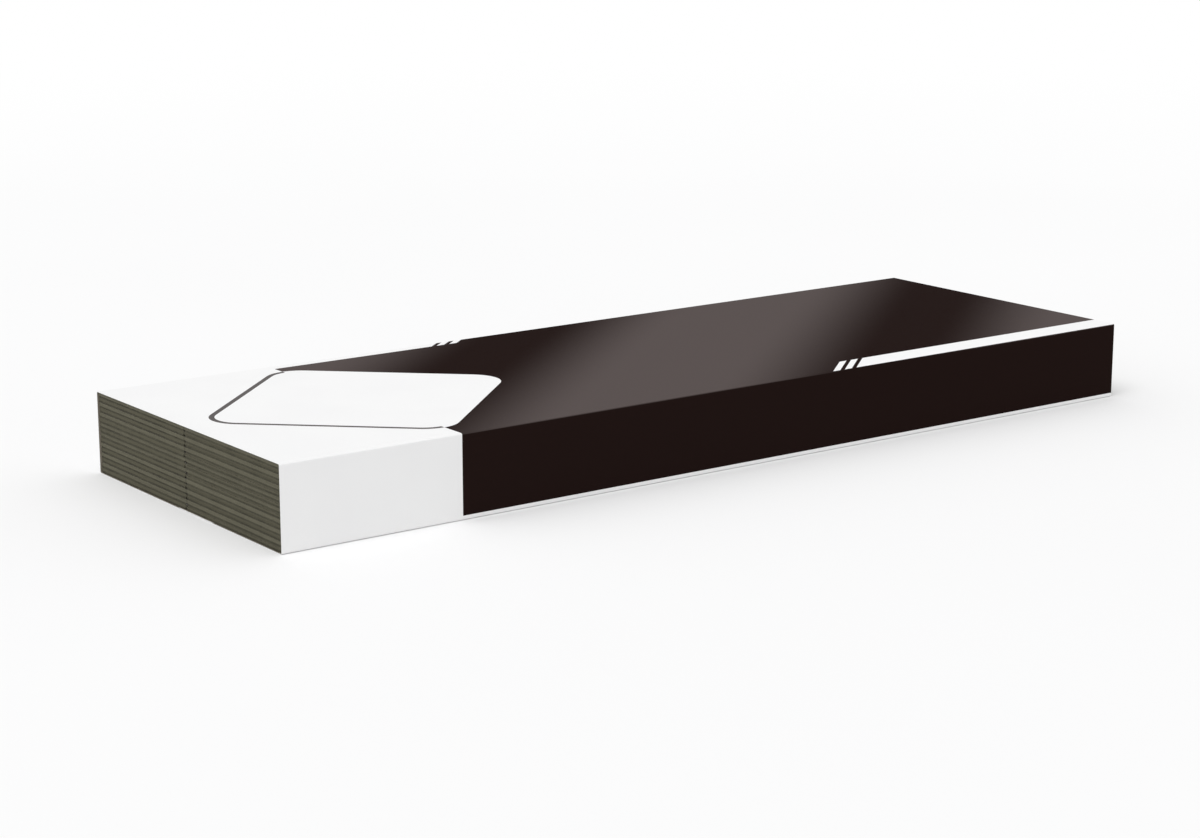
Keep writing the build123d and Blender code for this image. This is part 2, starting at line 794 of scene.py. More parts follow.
@dataclass(frozen=True, kw_only=True)
class SandedBack:
    """The underside: asphalt dusted with fine sand."""

    asphalt: Colour = (0.022, 0.021, 0.019)
    sand: Colour = (0.120, 0.112, 0.098)
    dust: Point = (1700.0, 2.0)
    dust_range: Point = (0.4, 0.65)
    dust_weight: Point = (0.0, 0.75)
    dust_relief: Point = (0.0003, 0.5)
    cloud: Point = (16.0, 3.0)
    cloud_weight: Point = (-0.2, 0.2)
    gloss: Point = (0.7, 0.95)
    specular: float = 0.25

    def material(self, name: str) -> bpy.types.Material:
        """Make the material.

        Args:
            name: Its name.

        Returns:
            The material.
        """
        shader = Shader(name)
        dust = shader.noise(*self.dust)
        patches = shader.ranged(shader.noise(*self.cloud), SPREAD, self.cloud_weight)
        share = shader.math("ADD", shader.ranged(dust, self.dust_range, self.dust_weight), patches)
        colour = shader.mixed(shader.ranged(share, RISING, RISING), self.asphalt, self.sand)
        roughness = shader.ranged(dust, SPREAD, self.gloss)
        relief = shader.bump(dust, *self.dust_relief)
        return shader.finish(colour, roughness, relief, self.specular)


# The wrapper


class Ink(Enum):
    """What covers a part of the wrapper, in the order of its material slots."""

    PAPER = 0
    BLACK = 1
    OUTLINE = 2
    HATCH = 3
    RULE = 4
    INSIDE = 5


@dataclass(frozen=True)
class Stretch:
    """One straight or curved stretch of the wrapper's section.

    A turn to the right is negative, in radians over the whole stretch.
    """

    length: float
    turn: float = 0.0
    steps: int = 1


class Section:
    """The outer line of the folded sheet across the bundle, in Y and Z."""

    def __init__(self, start: Point, heading: float, stretches: Sequence[Stretch]) -> None:
        """Work out where each stretch begins.

        Args:
            start: The sheet's free edge.
            heading: The first direction, in radians from +Y towards +Z.
            stretches: The stretches in order.
        """
        self.stretches = tuple(stretches)
        rows = [(0.0, *start, heading)]
        for stretch in stretches:
            ends = self.walk(*rows[-1][1:], stretch, np.array([stretch.length]))
            rows.append((rows[-1][0] + stretch.length, *(float(e[0]) for e in ends)))
        self.rows = rows

    @staticmethod
    def walk(
        y: float, z: float, heading: float, stretch: Stretch, run: np.ndarray
    ) -> tuple[np.ndarray, np.ndarray, np.ndarray]:
        """Go along one stretch.

        Args:
            y: Where the stretch begins.
            z: Where the stretch begins.
            heading: Its first direction.
            stretch: The stretch.
            run: Distances along it.

        Returns:
            Y, Z and the heading at each distance.
        """
        if stretch.turn == 0.0:
            still = np.full(len(run), heading)
            return y + run * math.cos(heading), z + run * math.sin(heading), still
        rate = stretch.turn / stretch.length
        turned = heading + rate * run
        return (
            y + (np.sin(turned) - math.sin(heading)) / rate,
            z + (math.cos(heading) - np.cos(turned)) / rate,
            turned,
        )

    @property
    def total(self) -> float:
        """The sheet's whole width, laid flat."""
        return self.rows[-1][0]

    def start_of(self, index: int) -> float:
        """Where a stretch begins on the flat sheet."""
        return self.rows[index][0]

    def folds(self) -> list[float]:
        """Give the places on the flat sheet where a facet begins.

        Returns:
            Distances from the free edge.
        """
        places: list[float] = []
        for (begin, *_), stretch in zip(self.rows, self.stretches):
            places += [begin + stretch.length * s / stretch.steps for s in range(stretch.steps)]
        return places + [self.total]

    def at(self, flat: np.ndarray) -> tuple[np.ndarray, np.ndarray]:
        """Fold flat distances round the bundle.

        Args:
            flat: Distances from the free edge.

        Returns:
            The points and the outward normals, as Y and Z in two columns.
        """
        points = np.empty((len(flat), 2))
        normals = np.empty((len(flat), 2))
        starts = np.array([row[0] for row in self.rows[1:-1]])
        which = np.searchsorted(starts, flat, side="right")
        for index, stretch in enumerate(self.stretches):
            mask = which == index
            begin, y, z, heading = self.rows[index]
            ys, zs, turned = self.walk(y, z, heading, stretch, flat[mask] - begin)
            points[mask] = np.column_stack((ys, zs))
            normals[mask] = np.column_stack((-np.sin(turned), np.cos(turned)))
        return points, normals


@dataclass
class PrintLayout:
    """The print, as outlines on the flat sheet, painted in order.

    Lengths run from the white end, and the sheet's own width runs from the glued
    edge underneath, round the front, the top and the back. On that width the front
    side, the top and the back part of the underside begin at front, top and last, and
    the back side ends at back_end. The rules' rows are measured from the glued edge on
    the front part of the underside, and from last on its back part.
    """

    length: float
    flat_width: float
    fold: float
    front: float
    top: float
    back_end: float
    last: float
    rise: float = 2.4
    end_zone: float = 181.5
    panel_centre: float = 181.0
    panel_half: Point = (166.0, 153.5)
    panel_radius: float = 31.0
    outline: float = 5.2
    strip: float = 24.0
    strip_end: float = 362.0
    strip_overlap: float = 1.0
    slash: float = 9.0
    slash_gap: float = 6.0
    slashes: int = 2
    slant: float = 1.17
    back_strip_in: float = 12.5
    front_strip_in: float = 28.4
    front_strip_down: float = 1.3
    band: float = 22.0
    front_columns: tuple[Point, ...] = ((70, 215), (232, 495), (515, 710), (750, 970))
    front_rows: Point = (35.0, 161.0)
    back_columns: tuple[Point, ...] = ((35, 255), (272, 490), (513, 730), (750, 970))
    back_rows: Point = (20.0, 136.0)
    bar_pitch: float = 5.6
    bar: float = 2.0
    heading_bar: float = 2.6
    paragraph_rows: tuple[int, int] = (5, 10)
    paragraph_gap: float = 1.8
    heading_share: Point = (0.3, 0.5)
    row_share: Point = (0.93, 1.0)
    last_share: Point = (0.45, 0.8)
    seed: int = 5

    def slanted(self, left: float, right: float, low: float, high: float) -> list[Point]:
        """Give a strip's or slash's outline, with slanted ends.

        Args:
            left: The left end on the low side.
            right: The right end on the low side, or past the sheet's end.
            low: The low side's place across the sheet.
            high: The high side's place across the sheet.

        Returns:
            The outline.
        """
        shift = (high - low) * self.slant
        ends = [left, left + shift, right + shift, right]
        along = [min(max(e, 0.0), self.length) for e in ends]
        return [(along[0], low), (along[1], high), (along[2], high), (along[3], low)]

    def panel(self, inset: float) -> list[Point]:
        """Give the label panel's outline.

        Args:
            inset: How far inside the outer line it runs.

        Returns:
            The outline.
        """
        half_x, half_y = self.panel_half
        shrink = inset * math.hypot(1 / half_x, 1 / half_y)
        wide = half_x * (1 - shrink)
        tall = half_y * (1 - shrink)
        x, y = self.panel_centre, self.top + self.flat_width / 2
        corners = [(x - wide, y), (x, y - tall), (x + wide, y), (x, y + tall)]
        return rounded_polygon(corners, self.panel_radius - inset)

    def strips(self) -> list[list[Point]]:
        """Give the white strips and slashes along the top's long edges.

        Returns:
            The outlines.
        """
        low = self.top + self.flat_width + self.fold - self.back_strip_in
        high = low + self.strip
        white_end = self.end_zone - self.strip_overlap
        marks = [self.slanted(white_end, self.strip_end, low, high)]
        marks[0][1] = (white_end, high)
        step = self.slash + self.slash_gap
        for number in range(self.slashes):
            left = self.strip_end + self.slash_gap + number * step
            marks.append(self.slanted(left, left + self.slash, low, high))
        low = self.top - self.front_strip_down
        high = self.top - self.fold + self.front_strip_in
        start = self.length - self.strip_end
        marks.append(self.slanted(start, self.length, low, high))
        for number in range(self.slashes):
            right = start - self.slash_gap - number * step
            marks.append(self.slanted(right - self.slash, right, low, high))
        return marks

    def rules(self) -> list[list[Point]]:
        """Give the plain grey bars on the underside.

        Returns:
            The outlines.
        """
        draw = np.random.default_rng(self.seed)
        bars: list[list[Point]] = []
        for left, right in self.front_columns:
            bars += self.column(draw, left, right, *self.front_rows)
        for left, right in self.back_columns:
            bars += self.column(draw, left, right, *(self.last + row for row in self.back_rows))
        return bars

    def column(
        self, draw: np.random.Generator, left: float, right: float, low: float, high: float
    ) -> list[list[Point]]:
        """Give one column of bars with ragged right ends.

        Args:
            draw: Where the ragged ends come from.
            left: The column's left edge.
            right: Its right edge.
            low: Where it begins across the sheet.
            high: Where it ends.

        Returns:
            The outlines.
        """
        bars: list[list[Point]] = []
        place = low
        rows_left = 0
        while place + self.bar < high:
            if rows_left == 0:
                rows_left = int(draw.integers(*self.paragraph_rows))
                end = left + (right - left) * draw.uniform(*self.heading_share)
                bars.append(box_outline(left, end, place, place + self.heading_bar))
                place += self.bar_pitch
                continue
            rows_left -= 1
            share = draw.uniform(*(self.row_share if rows_left else self.last_share))
            end = left + (right - left) * share
            bars.append(box_outline(left, end, place, place + self.bar))
            place += self.bar_pitch * (1.0 if rows_left else self.paragraph_gap)
        return bars

    def painted(self) -> list[tuple[Ink, list[Point]]]:
        """Give every outline with its ink, the later ones over the earlier.

        Returns:
            Inks and outlines.
        """
        low = self.front + self.rise
        high = self.back_end - self.rise
        layers = [(Ink.BLACK, box_outline(self.end_zone, self.length, low, high))]
        layers += [(Ink.PAPER, mark) for mark in self.strips()]
        whole = self.panel(0.0)
        layers.append((Ink.PAPER, whole))
        layers.append((Ink.OUTLINE, left_part(whole, self.end_zone)))
        layers.append((Ink.PAPER, self.panel(self.outline)))
        layers.append((Ink.HATCH, box_outline(0.0, self.length, 0.0, self.band)))
        layers += [(Ink.RULE, bar) for bar in self.rules()]
        return layers


def box_outline(left: float, right: float, low: float, high: float) -> list[Point]:
    """Give the four corners of an upright rectangle."""
    return [(left, low), (right, low), (right, high), (left, high)]


def left_part(outline: Sequence[Point], limit: float) -> list[Point]:
    """Cut a convex outline along an upright line.

    Args:
        outline: The outline.
        limit: Where the line stands.

    Returns:
        What lies left of the line.
    """
    kept: list[Point] = []
    for (ax, ay), (bx, by) in zip(outline, [*outline[1:], outline[0]]):
        if ax <= limit:
            kept.append((ax, ay))
        if (ax <= limit) != (bx <= limit):
            share = (limit - ax) / (bx - ax)
            kept.append((limit, ay + (by - ay) * share))
    return kept


@dataclass
class PrintedWrapper:
    """The paper sheet, folded round the stack and open at both ends."""

    length: float = 1002.4
    width: float = 340.4
    height: float = 78.3
    fold_radius: float = 1.7
    paper: float = 0.45
    flap_edge: float = 11.0
    lap_end: float = -49.0
    jog_angle: float = math.radians(35)
    jog_radius: float = 1.38
    jog_end: float = 12.0
    jog_steps: int = 3
    fold_steps: int = 5
    grid: float = 84.0
    shelf_heights: tuple[float, ...] = (872.0, 46.0, 46.0, 24.0, 8.0)

    def section(self) -> Section:
        """Lay out the folded sheet's outer line.

        Returns:
            The section.
        """
        half = self.width / 2 - self.fold_radius
        fold = Stretch(self.fold_radius * math.pi / 2, -math.pi / 2, self.fold_steps)
        side = Stretch(self.height - 2 * self.fold_radius)
        jog_run = 2 * self.jog_radius * math.sin(self.jog_angle)
        wide, tight = (self.jog_radius + sign * self.paper / 2 for sign in (1, -1))
        up = Stretch(wide * self.jog_angle, -self.jog_angle, self.jog_steps)
        level = Stretch(tight * self.jog_angle, self.jog_angle, self.jog_steps)
        return Section(
            (self.flap_edge, 0.0),
            math.pi,
            [
                Stretch(self.flap_edge + half),
                fold,
                side,
                fold,
                Stretch(2 * half),
                fold,
                side,
                fold,
                Stretch(half - self.jog_end - jog_run),
                up,
                level,
                Stretch(self.jog_end - self.lap_end),
            ],
        )

    def layout(self, section: Section) -> PrintLayout:
        """Place the print on the flat sheet.

        Args:
            section: The folded sheet's line.

        Returns:
            The print.
        """
        return PrintLayout(
            length=self.length,
            flat_width=self.width - 2 * self.fold_radius,
            fold=self.fold_radius,
            front=section.start_of(2),
            top=section.start_of(4),
            back_end=section.start_of(7),
            last=section.start_of(8),
        )

    def flat_mesh(
        self, section: Section, layers: Sequence[tuple[Ink, list[Point]]]
    ) -> tuple[np.ndarray, np.ndarray]:
        """Divide the flat sheet along its folds and its print.

        Args:
            section: The folded sheet's line.
            layers: The print's outlines.

        Returns:
            The flat points, and the triangles as rows of three indices.
        """
        points: list[Vector] = []
        edges: list[tuple[int, int]] = []

        def draw(outline: Sequence[Point], closed: bool) -> None:
            """Add the points and edges of one outline.

            Args:
                outline: Its points in order.
                closed: Whether its end joins its start.
            """
            start = len(points)
            points.extend(Vector(p) for p in outline)
            count = len(outline)
            edges.extend((start + i, start + i + 1) for i in range(count - 1))
            if closed:
                edges.append((start + count - 1, start))

        draw(box_outline(0.0, self.length, 0.0, section.total), True)
        for place in section.folds()[1:-1]:
            draw([(0.0, place), (self.length, place)], False)
        for stretch, (begin, *_) in zip(section.stretches, section.rows):
            parts = max(1, round(stretch.length / self.grid))
            for part in range(1, parts):
                place = begin + stretch.length * part / parts
                draw([(0.0, place), (self.length, place)], False)
        columns = round(self.length / self.grid)
        for column in range(1, columns):
            along = self.length * column / columns
            draw([(along, 0.0), (along, section.total)], False)
        for _, outline in layers:
            draw(outline, True)
        made, _, faces, *_ = delaunay_2d_cdt(points, edges, [], KEEP_ALL, MERGE)
        return np.array([tuple(p) for p in made]), np.array(faces)

    @staticmethod
    def inks(centres: np.ndarray, layers: Sequence[tuple[Ink, list[Point]]]) -> np.ndarray:
        """Find the ink of each triangle.

        Args:
            centres: The triangles' middles on the flat sheet.
            layers: The print's outlines.

        Returns:
            The material slot of each triangle.
        """
        slots = np.full(len(centres), Ink.PAPER.value)
        for ink, outline in layers:
            slots[inside(centres, np.array(outline))] = ink.value
        return slots

    def spots(
        self, flat: np.ndarray, triangles: np.ndarray, rims: np.ndarray, band: float
    ) -> np.ndarray:
        """Place the faces on the baked picture, with the hatched band twice as large.

        Args:
            flat: The points of the flat sheet.
            triangles: The outside's triangles.
            rims: The two outer points of each face of the rims.
            band: The width of the hatched band.

        Returns:
            The places of the corners of the outside, the inside and the rims.
        """
        main, low_band, high_band, lining, edge = stacked_shelves(self.shelf_heights)
        total = flat[:, 1].max()
        x, y = np.moveaxis(flat[triangles], 2, 0)
        outside = main.place(x / self.length, (y - band) / (total - band))
        parts = [*low_band.divided(2), *high_band.divided(2)]
        run = self.length / len(parts)
        numbers = x.mean(1) // run
        for number, part in enumerate(parts):
            mask = (y.mean(1) < band) & (numbers == number)
            outside[mask] = part.place(x[mask] / run - number, y[mask] / band)
        within = lining.place(x / self.length, y / total)[:, ::-1]

        ends = flat[rims]
        across = np.isclose(ends[:, 0, 0], ends[:, 1, 0])
        runs = np.where(across[:, None], ends[:, :, 1] / total, ends[:, :, 0] / self.length)
        middles = ends.mean(1)
        far = np.where(across, middles[:, 0] > self.length / 2, middles[:, 1] > total / 2)
        borders = np.empty((len(rims), 4, 2))
        for number, part in enumerate(edge.divided(4)):
            mask = 2 * across + far == number
            borders[mask] = part.place(runs[mask][:, [0, 1, 1, 0]], np.array([1, 1, 0, 0]))
        return np.vstack([places.reshape(-1, 2) for places in (outside, within, borders)])

    def build(self) -> bpy.types.Object:
        """Fold the sheet and give it its thickness and rims.

        Returns:
            The wrapper.
        """
        section = self.section()
        layout = self.layout(section)
        layers = layout.painted()
        flat, triangles = self.flat_mesh(section, layers)
        slots = self.inks(flat[triangles].mean(1), layers)
        folded, normals = section.at(flat[:, 1])
        along = flat[:, :1] - self.length / 2
        outer = np.hstack((along, folded))
        inner = np.hstack((along, folded - self.paper * normals))
        count = len(flat)

        open_edges: dict[tuple[int, int], None] = {}
        for a, b, c in triangles.tolist():
            for start, end in ((a, b), (b, c), (c, a)):
                if (end, start) in open_edges:
                    del open_edges[end, start]
                else:
                    open_edges[start, end] = None
        rims = np.array([(b, a) for a, b in open_edges])

        draft = MeshDraft()
        faces = triangles.tolist()
        faces += (triangles[:, ::-1] + count).tolist()
        faces += np.hstack((rims, rims[:, ::-1] + count)).tolist()
        face_slots = slots.tolist()
        face_slots += [Ink.INSIDE.value] * len(triangles)
        face_slots += [Ink.PAPER.value] * len(rims)
        spots = self.spots(flat, triangles, rims, layout.band)
        draft.add(np.vstack((outer, inner)), faces, face_slots, True, spots)
        piece = draft.build("printed_wrapper", self.materials())
        self.shade(piece, np.hstack((np.zeros((count, 1)), normals)), len(triangles))
        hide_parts("wrapper")
        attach(piece, BODY)
        return piece

    def shade(self, piece: bpy.types.Object, normals: np.ndarray, triangles: int) -> None:
        """Give the folds their exact normals, so that the flat faces stay flat.

        Args:
            piece: The wrapper.
            normals: The outward normal at each point of the sheet.
            triangles: How many faces the outside has, and the inside after it.
        """
        mesh = piece.data
        count = len(normals)
        given: list[Sequence[float]] = []
        for face in mesh.polygons:
            if face.index >= 2 * triangles:
                given += [face.normal] * len(face.vertices)
                continue
            for index in face.vertices:
                normal = normals[index % count]
                given.append(normal if index < count else -normal)
        mesh.normals_split_custom_set(given)

    @staticmethod
    def materials() -> list[bpy.types.Material]:
        """Make the wrapper's materials in the order of the inks.

        Returns:
            The materials.
        """
        # The inside of the sheet is a darker, brownish grey paper.
        darker_inside = CoatedPaper(light=(0.30, 0.27, 0.22), shade=(0.25, 0.22, 0.18), specular=0.1)
        return [
            CoatedPaper().material("coated_white_paper"),
            # The black print's material also carries the painted sheen on top.
            BlackPrint().material("black_print_and_painted_sheen"),
            PlainPrint(colour=(0.045, 0.036, 0.034)).material("dark_outline_print"),
            HatchedPrint().material("hatched_band_print"),
            PlainPrint(colour=(0.2, 0.2, 0.2), dashes=(190.0, 120.0)).material("grey_rule_print"),
            darker_inside.material("darker_inside_paper"),
        ]


# The shingles


class Lay(Enum):
    """Which one of its pair a shingle is."""

    LOWER = "lower_shingle"
    UPPER = "upper_shingle"


class Face(Enum):
    """The faces of a ply, in the order of the material slots."""

    GRANULES = 0
    BACK = 1
    PALE_EDGE = 2
    DARK_EDGE = 3


@dataclass(frozen=True)
class PlyShelves:
    """The strips of the baked picture that hold one ply's faces."""

    left_end: Shelf
    right_end: Shelf
    top: Shelf
    bottom: Shelf
    sides: Shelf


@dataclass
class Ply:
    """One layer of a shingle: a plate with a rough sheared edge.

    The height function gives the underside's height at each place across. An upright
    side longer than end_length counts as an end, and no step comes nearer to a bend
    than bend_clear. The edge's rows lie inside the outline by a chance depth within
    rough's two numbers.
    """

    outline: list[Point]
    height: Callable[[np.ndarray], np.ndarray]
    top: Face
    edge: Face
    bends: tuple[float, ...]
    shelves: PlyShelves
    thickness: float = 3.2
    levels: tuple[float, ...] = (0.84, 0.5, 0.16)
    top_corner: float = 0.3
    bottom_corner: float = 0.3
    step: float = 6.0
    end_step: float = 3.0
    end_length: float = 100.0
    bend_clear: float = 1.0
    rough: Point = (0.02, 0.2)
    straight: float = 1e-6

    def perimeter(self) -> list[Point]:
        """Divide the outline into short steps that meet the bends.

        Returns:
            The points in order.
        """
        points: list[Point] = []
        count = len(self.outline)
        for index, (ax, ay) in enumerate(self.outline):
            bx, by = self.outline[(index + 1) % count]
            length = math.hypot(bx - ax, by - ay)
            is_end = abs(ax - bx) < self.straight and length > self.end_length
            step = self.end_step if is_end else self.step
            shares = set(np.linspace(0.0, 1.0, max(1, round(length / step)), endpoint=False))
            if abs(by - ay) > self.straight:
                for bend in self.bends:
                    share = (bend - ay) / (by - ay)
                    if 0.0 < share < 1.0:
                        near = {s for s in shares if abs(s - share) * length <= self.bend_clear}
                        shares = shares - near | {0.0, share}
            for share in sorted(shares):
                points.append((ax + (bx - ax) * share, ay + (by - ay) * share))
        return points

    @staticmethod
    def inward(ring: np.ndarray) -> np.ndarray:
        """Give the inward direction at each point, longer at the corners.

        Args:
            ring: The perimeter, counterclockwise.

        Returns:
            One direction a point, which moves both sides in by one.
        """
        back = ring - np.roll(ring, 1, axis=0)
        ahead = np.roll(ring, -1, axis=0) - ring
        back /= np.linalg.norm(back, axis=1)[:, None]
        ahead /= np.linalg.norm(ahead, axis=1)[:, None]
        left = np.column_stack((-back[:, 1], back[:, 0]))
        right = np.column_stack((-ahead[:, 1], ahead[:, 0]))
        both = left + right
        return both * 2 / (both * both).sum(1)[:, None]

    def plate(self, ring: np.ndarray) -> tuple[np.ndarray, np.ndarray, list[int]]:
        """Divide the ply's broad face.

        Args:
            ring: The upper rim, counterclockwise.

        Returns:
            The points, the triangles, and which points lie on the rim in order.
        """
        count = len(ring)
        points = [Vector(p) for p in ring]
        edges: list[tuple[int, int]] = []
        left, right = ring[:, 0].min(), ring[:, 0].max()
        for bend in self.bends:
            if ring[:, 1].min() < bend < ring[:, 1].max():
                start = len(points)
                points += [Vector((left, bend)), Vector((right, bend))]
                edges.append((start, start + 1))
        rim = [list(range(count))]
        made, _, faces, *_ = delaunay_2d_cdt(points, edges, rim, KEEP_INSIDE, MERGE, True)
        flat = np.array([tuple(p) for p in made])
        return flat, np.array(faces), [self.match(flat, point) for point in ring]

    def spots(self, ring: np.ndarray, plate: np.ndarray, triangles: np.ndarray) -> np.ndarray:
        """Place the faces on the baked picture, with the two ends larger than the rest.

        Args:
            ring: The perimeter.
            plate: The points of the upper face.
            triangles: The upper face's triangles.

        Returns:
            The places of the corners of the top, the bottom and the edge's rows.
        """
        low, high = ring.min(0), ring.max(0)
        x, y = np.moveaxis(((plate - low) / (high - low))[triangles], 2, 0)
        faces = [self.shelves.top.place(x, y), self.shelves.bottom.place(x, y)[:, ::-1]]
        count = len(ring)
        around = (np.arange(count)[:, None] + np.array([0, 0, 1, 1])) / count
        after = np.roll(ring, -1, axis=0)
        corners = np.stack((ring, ring, after, after), axis=1)
        across = (corners[:, :, 1] - low[1]) / (high[1] - low[1])
        left, right = (np.isclose(corners[:, :, 0], edge[0]).all(1) for edge in (low, high))
        levels = (1.0, *self.levels, 0.0)
        for upper, lower in zip(levels, levels[1:]):
            up = np.array([upper, lower, lower, upper])
            row = self.shelves.sides.place(around, up)
            row[left] = self.shelves.left_end.place(across[left], up)
            row[right] = self.shelves.right_end.place(across[right], up)
            faces.append(row)
        return np.vstack([places.reshape(-1, 2) for places in faces])

    def add_to(
        self,
        draft: MeshDraft,
        turned: bool,
        along: float,
        base: float,
        draw: np.random.Generator,
    ) -> None:
        """Add the ply to a shingle's draft.

        Args:
            draft: The shingle's mesh under way.
            turned: Whether the shingle lies end for end.
            along: Its shift along the bundle.
            base: The height of its pair.
            draw: Where the roughness comes from.
        """
        ring = np.array(self.perimeter())
        inward = self.inward(ring)
        count = len(ring)
        upper, triangles, loop = self.plate(ring + inward * self.top_corner)
        under = upper.copy()
        under[loop] = ring + inward * self.bottom_corner
        plate = len(upper)

        rings = [upper]
        heights = [self.height(upper[:, 1]) + self.thickness]
        for level in self.levels:
            inset = draw.uniform(*self.rough, count)[:, None]
            rings.append(ring + inward * inset)
            heights.append(self.height(ring[:, 1]) + self.thickness * level)
        rings.append(under)
        heights.append(self.height(upper[:, 1]))

        across = np.vstack(rings) * (-1 if turned else 1)
        points = np.column_stack((across, np.concatenate(heights) + base))
        points[:, 0] += along
        starts = [plate + count * number for number in range(len(self.levels) + 1)]
        chains = [loop]
        chains += [[start + i for i in range(count)] for start in starts[:-1]]
        chains.append([starts[-1] + i for i in loop])
        sides = [
            (high[i], low[i], low[(i + 1) % count], high[(i + 1) % count])
            for high, low in zip(chains, chains[1:])
            for i in range(count)
        ]
        tops = triangles.tolist()
        bottoms = (triangles[:, ::-1] + starts[-1]).tolist()
        slots = [self.top.value] * len(tops) + [Face.BACK.value] * len(bottoms)
        slots += [self.edge.value] * len(sides)
        places = self.spots(ring, upper, triangles)
        draft.add(points, tops + bottoms + sides, slots, False, places)

    @staticmethod
    def match(flat: np.ndarray, point: np.ndarray) -> int:
        """Find the plate's vertex at a point of its rim."""
        return int(np.argmin(((flat - point) ** 2).sum(1)))


@dataclass
class LaminatedShingle:
    """One shingle: a toothed sheet with a half-width backer bonded under it."""

    number: int
    length: float = 1000.0
    width: float = 337.0
    ply: float = 3.2
    bond: float = 0.02
    bonded_corner: float = 0.05
    backer_edge: float = 2.0
    tooth_root: float = 25.5
    gap: float = 97.0
    taper: float = 3.0
    gap_places: tuple[float, ...] = (344.5, 105.5, -105.5, -344.5)
    end_step: float = 0.2
    end_levels: int = 5
    stack_base: float = 1.0
    seed: int = 100
    sheet_shelves: tuple[float, ...] = (26.0, 26.0, 290.0, 290.0, 12.0)
    backer_shelves: tuple[float, ...] = (26.0, 26.0, 143.0, 143.0, 12.0)

    @property
    def lay(self) -> Lay:
        """Odd numbers are the lower ones of their pairs."""
        return Lay.LOWER if self.number % 2 else Lay.UPPER

    @property
    def along(self) -> float:
        """How far off centre it lies along the bundle."""
        level = 2 * (self.number - 1) % self.end_levels
        return (level - (self.end_levels - 1) / 2) * self.end_step

    @property
    def base(self) -> float:
        """The height at which its pair begins."""
        return self.stack_base + (self.number - 1) // 2 * PAIR_PLIES * self.ply

    def sheet_outline(self) -> list[Point]:
        """Give the toothed sheet's outline, counterclockwise.

        Returns:
            The corners.
        """
        half, butt = self.length / 2, self.width / 2
        corners = [(-half, -butt), (half, -butt), (half, butt)]
        for place in self.gap_places:
            root = self.gap / 2 - self.taper
            corners += [
                (place + self.gap / 2, butt),
                (place + root, self.tooth_root),
                (place - root, self.tooth_root),
                (place - self.gap / 2, butt),
            ]
        return corners + [(-half, butt)]

    def backer_outline(self) -> list[Point]:
        """Give the backer's outline, counterclockwise."""
        half = self.length / 2
        return box_outline(-half, half, self.backer_edge, self.width / 2)

    def sheet_height(self, across: np.ndarray) -> np.ndarray:
        """Give the sheet's underside.

        Args:
            across: Places across the shingle.

        Returns:
            Heights above the pair's base.
        """
        if self.lay is Lay.UPPER:
            return np.full(len(across), 2 * self.ply)
        return self.ply * np.clip(0.5 + across / (2 * self.backer_edge), 0.0, 1.0)

    def backer_height(self, across: np.ndarray) -> np.ndarray:
        """Give the backer's underside, one height for every place across."""
        return np.full(len(across), 0.0 if self.lay is Lay.LOWER else self.ply)

    def build(self, materials: Sequence[bpy.types.Material]) -> bpy.types.Object:
        """Make the shingle and put it in its place.

        Args:
            materials: The finishes of a ply's faces.

        Returns:
            The shingle.
        """
        draw = np.random.default_rng(self.seed + self.number)
        lower = self.lay is Lay.LOWER
        bends = (-self.backer_edge, self.backer_edge) if lower else ()
        edge = Face.DARK_EDGE if lower else Face.PALE_EDGE
        shelves = stacked_shelves(self.sheet_shelves + self.backer_shelves)
        own = len(self.sheet_shelves)
        sheet = Ply(
            self.sheet_outline(),
            self.sheet_height,
            Face.GRANULES,
            edge,
            bends,
            PlyShelves(*shelves[:own]),
            bottom_corner=self.bonded_corner,
        )
        backer = Ply(
            self.backer_outline(),
            self.backer_height,
            Face.BACK,
            Face.DARK_EDGE,
            (),
            PlyShelves(*shelves[own:]),
            thickness=self.ply - self.bond,
            top_corner=self.bonded_corner,
        )
        draft = MeshDraft()
        sheet.add_to(draft, not lower, self.along, self.base, draw)
        backer.add_to(draft, not lower, self.along, self.base, draw)
        piece = draft.build(f"laminated_shingle_{self.number:02d}", materials)
        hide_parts(f"shingle_{self.number:02d}")
        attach(piece, BODY)
        return piece


@dataclass
class ShingleStack:
    """The sixteen shingles, counted from the bottom."""

    count: int = 16

    @staticmethod
    def materials() -> list[bpy.types.Material]:
        """Make the shingles' materials in the order of a ply's faces.

        Returns:
            The materials.
        """
        pale = CutEdge(light=(0.144, 0.136, 0.0945), dark=(0.0866, 0.0812, 0.0553))
        dark = CutEdge(light=(0.0940, 0.0877, 0.0581), dark=(0.0230, 0.0214, 0.0138), bond_line=0.6)
        return [
            Granules().material("mineral_granules"),
            SandedBack().material("sanded_back"),
            pale.material("pale_cut_edge"),
            dark.material("dark_cut_edge"),
        ]

    def build(self) -> list[bpy.types.Object]:
        """Make every shingle.

        Returns:
            The shingles, from the bottom up.
        """
        materials = self.materials()
        return [LaminatedShingle(number).build(materials) for number in range(1, self.count + 1)]


# The studio


